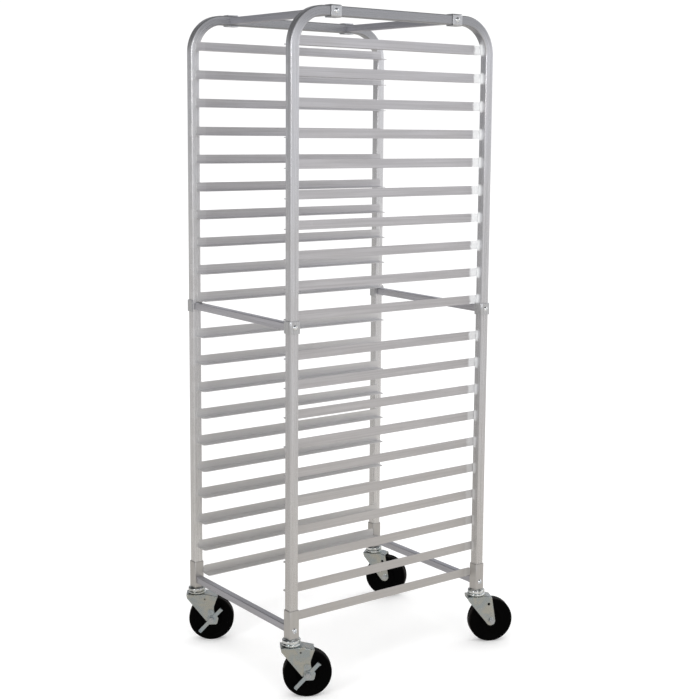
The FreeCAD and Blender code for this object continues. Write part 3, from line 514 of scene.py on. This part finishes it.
def wheel_black():
    """Hard moulded wheel: turned rings on the sides and a dusty, scuffed tread."""
    graph = Graph("wheel_black", own_place=True)
    radius = graph.distance(graph.x, graph.y)
    rings = graph.math("SINE", graph.times(radius, WHEEL_RINGS))
    grain = graph.marks(MOULD_GRAIN)
    color = graph.mix(graph.ramp(grain, 0.35, 0.7), grey(0.0006), grey(0.0014, (1.0, 0.97, 0.95)))
    tread = graph.ramp(radius, *TREAD_EDGE, 0.0, 0.35)
    dust = graph.times(tread, graph.ramp(graph.marks(TREAD_DUST), 0.35, 0.65))
    color = graph.mix(dust, color, grey(0.03, (1.15, 0.95, 0.85)))
    graph.shader.inputs["Specular IOR Level"].default_value = 0.02
    roughness = graph.plus(graph.ramp(grain, *SOFT, 0.34, 0.48), graph.times(dust, 0.25))
    height = graph.plus(graph.times(rings, 0.25), grain)
    return graph.finish(color, roughness, graph.bump(height, 0.22, 0.00025), 0.0)


def set_material(obj, material):
    obj.data.materials.clear()
    obj.data.materials.append(material)


def soften(obj, width):
    """Rounds the sharp edges of a CAD node with modifiers, leaving its own vertices as they are."""
    weld = obj.modifiers.new("weld", "WELD")
    weld.merge_threshold = JOIN_REACH
    bevel = obj.modifiers.new("edge", "BEVEL")
    bevel.width = width
    bevel.segments = 2
    bevel.limit_method = "ANGLE"
    bevel.angle_limit = math.radians(SHARP_DEGREES)
    bevel.use_clamp_overlap = True
    bevel.harden_normals = True


def new_piece(name, bm, material, body, matrix=None):
    """A piece in the object's frame. A matrix moves it, and own_place keeps where each point was before."""
    mesh = bpy.data.meshes.new(name)
    bmesh.ops.recalc_face_normals(bm, faces=bm.faces)
    bm.to_mesh(mesh)
    bm.free()
    if matrix is not None:
        own = mesh.attributes.new("own_place", "FLOAT_VECTOR", "POINT")
        for vertex, stored in zip(mesh.vertices, own.data):
            stored.vector = vertex.co
        mesh.transform(matrix)
    for polygon in mesh.polygons:
        polygon.use_smooth = True
    obj = bpy.data.objects.new(name, mesh)
    bpy.context.scene.collection.objects.link(obj)
    set_material(obj, material)
    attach(obj, body)
    return obj


def lathe(profile, segments):
    """A closed ring turned about Z from a closed outline of (radius, height) points."""
    bm = bmesh.new()
    rings = []
    for k in range(segments):
        turn = 2 * math.pi * k / segments
        rings.append([bm.verts.new((r * math.cos(turn), r * math.sin(turn), h)) for r, h in profile])
    count = len(profile)
    for k in range(segments):
        here = rings[k]
        there = rings[(k + 1) % segments]
        for i in range(count):
            j = (i + 1) % count
            bm.faces.new((here[i], there[i], there[j], here[j]))
    return bm


def round_corner(centre, radius, steps):
    """A quarter circle from straight above its centre to straight out from it."""
    points = []
    for k in range(steps + 1):
        turn = math.radians(90 - 90 * k / steps)
        points.append((centre[0] + radius * math.cos(turn), centre[1] + radius * math.sin(turn)))
    return points


def wheel_profile():
    """Half of a moulded caster wheel's outline, then its mirror image, as (radius, height)."""
    hub_top = [(WHEEL_BORE, HUB_HALF - BORE_CHAMFER), (WHEEL_BORE + BORE_CHAMFER, HUB_HALF)]
    hub_top += round_corner((0.0172, HUB_HALF - HUB_ROUND), HUB_ROUND, 3)
    web = [(0.0180, 0.0146), (0.0192, 0.0137), (0.0218, 0.0131), (0.0300, 0.0129)]
    raised_ring = [(0.0302, 0.0134), (0.0318, 0.0134), (0.0320, 0.0129), (0.0462, 0.0130)]
    tread_side = [(0.0486, 0.0142), (0.0504, 0.0154), (0.0520, WHEEL_HALF)]
    tread_side += round_corner((WHEEL_RIM - TREAD_ROUND, WHEEL_HALF - TREAD_ROUND), TREAD_ROUND, 7)
    seam = [(WHEEL_RIM, 0.0012), (WHEEL_RIM - 0.0003, 0.0004)]
    upper = hub_top + web + raised_ring + tread_side + seam
    lower = [(r, -h) for r, h in reversed(upper)]
    return upper + lower


def rippled_bead(bm, start, direction, bead, seed):
    """A short weld bead: a row of overlapping ripples, tapered at both ends."""
    pitch, count, radius = bead
    along = Vector(direction)
    side = along.orthogonal().normalized()
    up = along.cross(side)
    rows = []
    for k in range(count + 1):
        share = k / count
        swell = min(1.0, BEAD_SWELL * min(share, 1 - share) + BEAD_TIP)
        ripple = 1 - BEAD_RIPPLE + BEAD_RIPPLE * math.cos(math.pi * k)
        wobble = 1 + BEAD_WOBBLE * math.sin(seed * 12.9898 + k * 2.3)
        size = radius * swell * ripple * wobble
        centre = Vector(start) + along * pitch * k
        row = []
        for m in range(BEAD_SIDES):
            turn = 2 * math.pi * m / BEAD_SIDES
            row.append(bm.verts.new(centre + (side * math.cos(turn) + up * math.sin(turn)) * size))
        rows.append(row)
    for k in range(count):
        for m in range(BEAD_SIDES):
            n = (m + 1) % BEAD_SIDES
            bm.faces.new((rows[k][m], rows[k][n], rows[k + 1][n], rows[k + 1][m]))
    bm.faces.new(rows[0])
    bm.faces.new(rows[-1])


def add_welds(material):
    """Beads where each runner meets the posts: up its end, and back along the top of its upright leg."""
    for side, sign in (("left", -1), ("right", 1)):
        bm = bmesh.new()
        for tier, top in enumerate(LEDGE_TOPS):
            low = top - GAUGE
            last = tier == len(LEDGE_TOPS) - 1
            end = SHORT_END if last else RUNNER_END
            for facing in (-1, 1):
                seed = tier * 4 + (facing + 1) + (sign + 1) / 2
                foot = (sign * (POST_INNER_X - END_SINK), facing * (end + END_STANDOFF), low + END_FOOT)
                rippled_bead(bm, foot, (0, 0, 1), END_BEAD, seed)
                if not last:
                    top_edge = low + WALL_HEIGHT
                    back = (sign * (POST_INNER_X - BACK_SINK), facing * (end - BACK_INSET), top_edge)
                    rippled_bead(bm, back, (0, -facing, 0), BACK_BEAD, seed + 0.5)
        new_piece(f"weld_beads_{side}", bm, material, "rack")


def add_wheels(material):
    """A detailed wheel on each caster's axle, in place of the plain one."""
    profile = wheel_profile()
    for code in CASTERS:
        joint = JOINTS[f"wheel_{code}_roll"]
        turn = Vector((0, 0, 1)).rotation_difference(Vector(joint["axis"])).to_matrix().to_4x4()
        matrix = Matrix.Translation(Vector(joint["pos_m"])) @ turn
        solid = lathe(profile, WHEEL_SEGMENTS)
        piece = new_piece(f"wheel_{code}_tyre", solid, material, f"wheel_{code}", matrix)
        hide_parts(f"caster_{code}_wheel")


def node_looks():
    """Each material slot's material, and how far the edges of its nodes are eased."""
    zinc_cool = grey(0.43, (0.93, 1.02, 1.03))
    zinc_warm = grey(0.47, (1.02, 1.015, 0.91))
    strap_cool = grey(0.46, (0.90, 1.02, 1.08))
    strap_warm = grey(0.48, (0.96, 1.01, 0.99))
    bolt_cool = grey(0.90, (0.96, 1.0, 1.04))
    bolt_warm = grey(0.84, (1.0, 1.0, 0.97))
    bolt = zinc_metal("bolt_zinc", bolt_cool, bolt_warm, 0.22, dull_below=DULL_BOLTS_BELOW)
    return {
        "frame_tube": (frame_metal(), 0),
        "runner_angle": (runner_metal(), 0.00035),
        "cross_tube": (rail_metal(), 0.0003),
        "saddle_plate": (plate_metal("saddle_aluminium", 0.58, (0.98, 1.0, 1.03), 0.32), 0.0005),
        "sleeve_tube": (plate_metal("sleeve_aluminium", 0.55, (1.01, 1.0, 0.99), 0.36), 0.0005),
        "plug_metal": (plate_metal("plug_aluminium", 0.5, (1.0, 1.0, 1.0), 0.36), 0.0003),
        "bolt_steel": (bolt, 0.0002),
        "caster_zinc": (zinc_metal("caster_zinc", zinc_cool, zinc_warm, 0.27, rings=True), 0.0004),
        "brake_zinc": (zinc_metal("brake_zinc", strap_cool, strap_warm, 0.25), 0.0004),
        "bushing_steel": (zinc_metal("bushing_steel", grey(0.5), grey(0.55), 0.3), 0),
    }


def dress_nodes():
    """Gives each CAD node its material and eases its edges. The wheels are left out: they are replaced."""
    looks = node_looks()
    for part in RECORD["subparts"]:
        if part["material_slot"] == WHEEL_SLOT:
            continue
        material, edge = looks[part["material_slot"]]
        node = frame["nodes"][part["node"]]
        set_material(node, material)
        if edge:
            soften(node, edge)


def area_light(name, place, target, size, power, color):
    data = bpy.data.lights.new(name, "AREA")
    data.shape = "RECTANGLE"
    data.size, data.size_y = size
    data.energy = power
    data.color = color
    light = bpy.data.objects.new(name, data)
    light.location = place
    light.rotation_euler = (Vector(target) - Vector(place)).to_track_quat("-Z", "Y").to_euler()
    bpy.context.scene.collection.objects.link(light)


def add_floor():
    """A wide pale floor, faintly uneven. In reflections it is greyer, and darkest to the front left."""
    bm = bmesh.new()
    bmesh.ops.create_grid(bm, x_segments=8, y_segments=8, size=FLOOR_REACH)
    mesh = bpy.data.meshes.new("floor")
    bm.to_mesh(mesh)
    bm.free()
    floor = bpy.data.objects.new("floor", mesh)
    bpy.context.scene.collection.objects.link(floor)
    graph = Graph("floor_pale")
    color = graph.mix(graph.ramp(graph.marks(FLOOR_TONE), *SOFT), grey(0.90), grey(0.93))
    normal = graph.bump(graph.marks(FLOOR_GRAIN), 0.02, 0.001)
    graph.shader.inputs["Emission Color"].default_value = grey(1.0)
    graph.shader.inputs["Emission Strength"].default_value = 0.15
    graph.shader.inputs["Specular IOR Level"].default_value = 0.0
    set_material(floor, graph.finish(color, 0.75, normal, 0.0))
    rightward = graph.plus(graph.x, graph.y)
    reflected = graph.tree.nodes.new("ShaderNodeEmission")
    reflected.inputs["Color"].default_value = grey(1.0, (1.03, 0.995, 0.955))
    graph.join(graph.ramp(rightward, -3.0, 3.0, FLOOR_LEFT, FLOOR_RIGHT), reflected.inputs["Strength"])
    graph.seen_in_metal(graph.shader.outputs["BSDF"], reflected.outputs[0])


def add_world():
    """Even white surroundings. In reflections, a greyer studio: dark overhead and to the front left."""
    graph = WorldGraph("studio")
    rightward = graph.plus(graph.x, graph.y)
    level = graph.ramp(rightward, -1.0, 1.0, STUDIO_LEFT, STUDIO_RIGHT)
    level = graph.times(level, graph.ramp(graph.z, 0.26, 0.80, 1.0, STUDIO_ZENITH))
    raised = graph.ramp(graph.z, -0.02, 0.2)
    front_left = graph.ramp(rightward, -1.2, -0.6, 0.85, 0.0)
    level = graph.times(level, graph.minus(1.0, graph.times(raised, front_left)))
    plain = graph.background(grey(1.0), 1.06)
    graph.seen_in_metal(plain, graph.background(grey(1.0, (0.975, 0.985, 1.03)), level))


def add_camera():
    """The view: yaw from +Y towards -X, pitch downwards, then roll."""
    yaw = math.radians(CAMERA_YAW)
    pitch = math.radians(CAMERA_PITCH)
    roll = math.radians(CAMERA_ROLL)
    ahead = Vector((-math.sin(yaw) * math.cos(pitch), math.cos(yaw) * math.cos(pitch), -math.sin(pitch)))
    level = Vector((math.cos(yaw), math.sin(yaw), 0.0))
    up = level.cross(ahead)
    right = level * math.cos(roll) + up * math.sin(roll)
    top = up * math.cos(roll) - level * math.sin(roll)
    data = bpy.data.cameras.new("camera")
    data.sensor_width = CAMERA_SENSOR
    data.lens = CAMERA_LENS
    data.shift_x, data.shift_y = CAMERA_SHIFT
    data.clip_end = 100.0
    camera = bpy.data.objects.new("camera", data)
    turn = Matrix((right, top, -ahead)).transposed().to_4x4()
    camera.matrix_world = Matrix.Translation(Vector(CAMERA_PLACE)) @ turn
    bpy.context.scene.collection.objects.link(camera)
    bpy.context.scene.camera = camera


dress_nodes()
add_welds(weld_metal())
add_wheels(wheel_black())
add_floor()
add_world()
for light in LIGHTS:
    area_light(*light)
add_camera()
bpy.context.scene.view_settings.view_transform = "Standard"
